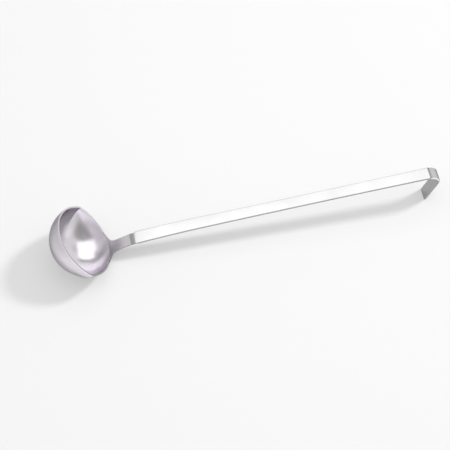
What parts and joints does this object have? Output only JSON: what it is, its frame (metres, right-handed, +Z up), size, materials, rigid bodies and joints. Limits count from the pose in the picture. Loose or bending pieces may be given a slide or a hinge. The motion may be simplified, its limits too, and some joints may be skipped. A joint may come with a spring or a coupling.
{
  "type": "double-spout sauce ladle",
  "caption": "Stainless steel sauce ladle: a deep round bowl with a pouring spout on either side, a long flat bar handle and a hook to hang it by.",
  "frame": {"origin": "on the surface that the ladle lies on, below the middle of its box", "axes": "+X from the bowl to the hanging hook, +Y across the handle from one spout to the other, +Z up from the surface that it lies on"},
  "size_m": [0.4002, 0.0794, 0.0626],
  "materials": {
    "bowl_steel": "stainless steel, satin polished inside and out with fine round marks",
    "handle_steel": "stainless steel, bright polished, faint marks along the bar",
    "weld_steel": "stainless weld, ground flush and polished"
  },
  "bodies": {
    "root": {"bowl": "bowl_steel", "handle": "handle_steel", "neck_weld": "weld_steel"}
  },
  "joints": []
}
